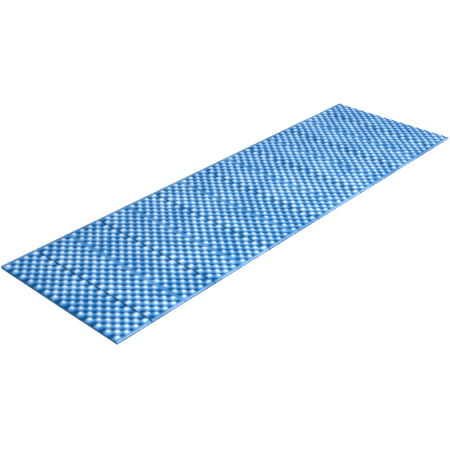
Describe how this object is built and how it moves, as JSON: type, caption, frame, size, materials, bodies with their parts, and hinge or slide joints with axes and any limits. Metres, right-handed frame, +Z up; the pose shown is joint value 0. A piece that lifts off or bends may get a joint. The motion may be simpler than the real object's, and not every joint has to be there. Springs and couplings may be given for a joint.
{
  "type": "folding foam sleeping pad",
  "caption": "Long egg-crate foam sleeping pad in rigid-acting panels joined by thin pressed foam webs, folding up like a fan into a nested block.",
  "frame": {"origin": "under the middle of the unfolded pad, on the surface it lies on", "axes": "+X along the length from the first panel to the last, +Y across the width, +Z up from the ground"},
  "size_m": [1.82, 0.56, 0.02],
  "materials": {
    "foam": "closed-cell foam with a smooth moulded skin and a slight satin sheen",
    "pressed_foam": "foam pressed thin and dense, smooth and slightly darker"
  },
  "bodies": {
    "panel_01": {"panel_01": "foam"},
    "panel_02": {"panel_02": "foam", "hinge_web_01": "pressed_foam"},
    "panel_03": {"panel_03": "foam", "hinge_web_02": "pressed_foam"},
    "panel_04": {"panel_04": "foam", "hinge_web_03": "pressed_foam"},
    "panel_05": {"panel_05": "foam", "hinge_web_04": "pressed_foam"},
    "panel_06": {"panel_06": "foam", "hinge_web_05": "pressed_foam"},
    "panel_07": {"panel_07": "foam", "hinge_web_06": "pressed_foam", "hinge_web_07": "pressed_foam"},
    "panel_08": {"panel_08": "foam", "hinge_web_08": "pressed_foam"},
    "panel_09": {"panel_09": "foam", "hinge_web_09": "pressed_foam"},
    "panel_10": {"panel_10": "foam", "hinge_web_10": "pressed_foam"},
    "panel_11": {"panel_11": "foam", "hinge_web_11": "pressed_foam"},
    "panel_12": {"panel_12": "foam", "hinge_web_12": "pressed_foam"},
    "panel_13": {"panel_13": "foam", "hinge_web_13": "pressed_foam"},
    "panel_14": {"panel_14": "foam"}
  },
  "joints": [
    {"name": "fold_01", "type": "hinge", "parent": "panel_02", "child": "panel_01", "pos_m": [-0.78, 0, 0.00375], "axis": [0, -1, 0], "range_deg": [-15, 180], "deforming": ["hinge_web_01"]},
    {"name": "fold_02", "type": "hinge", "parent": "panel_03", "child": "panel_02", "pos_m": [-0.65, 0, 0.01625], "axis": [0, 1, 0], "range_deg": [-15, 180], "deforming": ["hinge_web_02"]},
    {"name": "fold_03", "type": "hinge", "parent": "panel_04", "child": "panel_03", "pos_m": [-0.52, 0, 0.00375], "axis": [0, -1, 0], "range_deg": [-15, 180], "deforming": ["hinge_web_03"]},
    {"name": "fold_04", "type": "hinge", "parent": "panel_05", "child": "panel_04", "pos_m": [-0.39, 0, 0.01625], "axis": [0, 1, 0], "range_deg": [-15, 180], "deforming": ["hinge_web_04"]},
    {"name": "fold_05", "type": "hinge", "parent": "panel_06", "child": "panel_05", "pos_m": [-0.26, 0, 0.00375], "axis": [0, -1, 0], "range_deg": [-15, 180], "deforming": ["hinge_web_05"]},
    {"name": "fold_06", "type": "hinge", "parent": "panel_07", "child": "panel_06", "pos_m": [-0.13, 0, 0.01625], "axis": [0, 1, 0], "range_deg": [-15, 180], "deforming": ["hinge_web_06"]},
    {"name": "fold_07", "type": "hinge", "parent": "panel_07", "child": "panel_08", "pos_m": [0, 0, 0.00375], "axis": [0, 1, 0], "range_deg": [-15, 180], "deforming": ["hinge_web_07"]},
    {"name": "fold_08", "type": "hinge", "parent": "panel_08", "child": "panel_09", "pos_m": [0.13, 0, 0.01625], "axis": [0, -1, 0], "range_deg": [-15, 180], "deforming": ["hinge_web_08"]},
    {"name": "fold_09", "type": "hinge", "parent": "panel_09", "child": "panel_10", "pos_m": [0.26, 0, 0.00375], "axis": [0, 1, 0], "range_deg": [-15, 180], "deforming": ["hinge_web_09"]},
    {"name": "fold_10", "type": "hinge", "parent": "panel_10", "child": "panel_11", "pos_m": [0.39, 0, 0.01625], "axis": [0, -1, 0], "range_deg": [-15, 180], "deforming": ["hinge_web_10"]},
    {"name": "fold_11", "type": "hinge", "parent": "panel_11", "child": "panel_12", "pos_m": [0.52, 0, 0.00375], "axis": [0, 1, 0], "range_deg": [-15, 180], "deforming": ["hinge_web_11"]},
    {"name": "fold_12", "type": "hinge", "parent": "panel_12", "child": "panel_13", "pos_m": [0.65, 0, 0.01625], "axis": [0, -1, 0], "range_deg": [-15, 180], "deforming": ["hinge_web_12"]},
    {"name": "fold_13", "type": "hinge", "parent": "panel_13", "child": "panel_14", "pos_m": [0.78, 0, 0.00375], "axis": [0, 1, 0], "range_deg": [-15, 180], "deforming": ["hinge_web_13"]}
  ]
}
